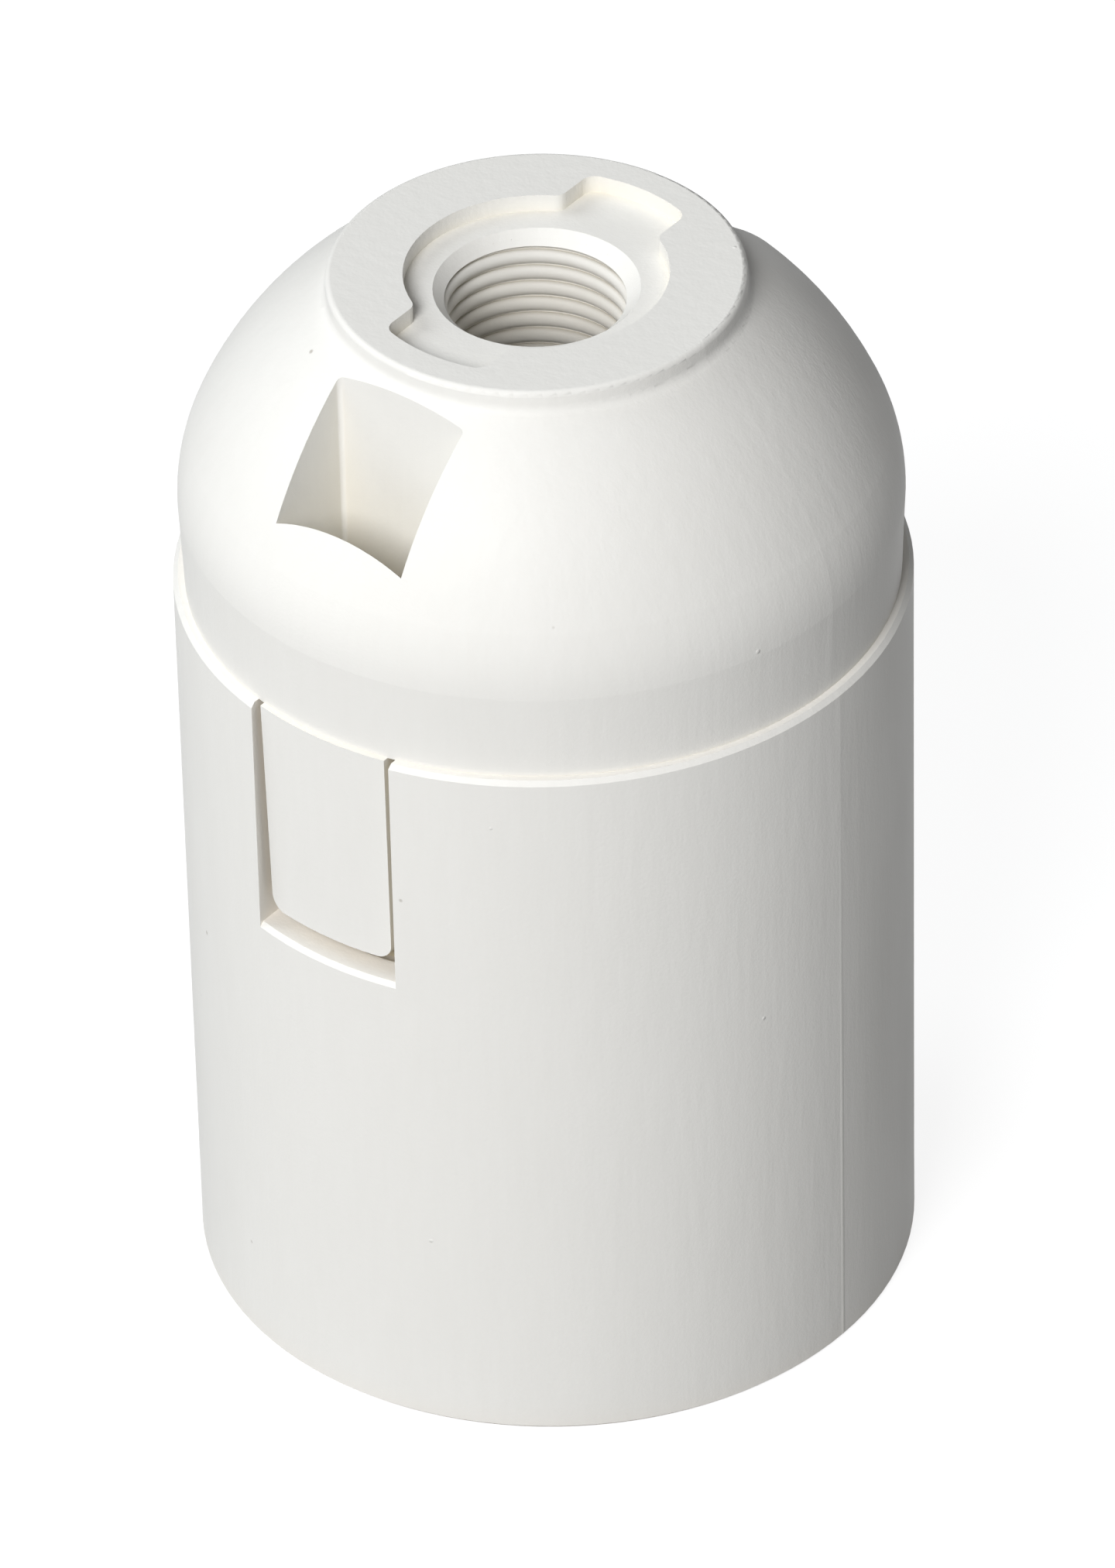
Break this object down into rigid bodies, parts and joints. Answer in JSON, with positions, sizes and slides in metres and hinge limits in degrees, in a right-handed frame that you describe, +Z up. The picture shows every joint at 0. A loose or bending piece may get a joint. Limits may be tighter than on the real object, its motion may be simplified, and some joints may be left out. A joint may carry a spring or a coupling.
{
  "type": "lamp holder",
  "caption": "Skirted E27 lamp holder in white plastic with a domed cap on two tongues, a keyed collar and an M10 threaded entry.",
  "frame": {"origin": "centre of the open lamp end, on the plane of the sleeve's foot", "axes": "+Z up the holder's axis to the threaded entry; the cap's two tongues lie at -Y and +Y"},
  "size_m": [0.039, 0.0388, 0.0617],
  "materials": {
    "housing": "fine matt moulding",
    "block": "moulded",
    "terminal": "machined",
    "screw": "zinc plated",
    "contact": "nickel plated"
  },
  "bodies": {
    "holder": {"sleeve": "housing", "terminal_block": "block", "live_terminal": "terminal", "neutral_terminal": "terminal", "centre_contact": "contact", "side_contact": "contact"},
    "cap": {"cap": "housing"},
    "live_screw": {"live_screw": "screw"},
    "neutral_screw": {"neutral_screw": "screw"}
  },
  "joints": [
    {"name": "cap_lift", "type": "slide", "parent": "holder", "child": "cap", "axis": [0, 0, 1], "range_m": [0, 0.03]},
    {"name": "live_screw_turn", "type": "hinge", "parent": "holder", "child": "live_screw", "pos_m": [0.009, 0, 0.0393], "axis": [0, 0, 1], "range_deg": [-540, 720]},
    {"name": "neutral_screw_turn", "type": "hinge", "parent": "holder", "child": "neutral_screw", "pos_m": [-0.009, 0, 0.0393], "axis": [0, 0, 1], "range_deg": [-540, 720]}
  ]
}
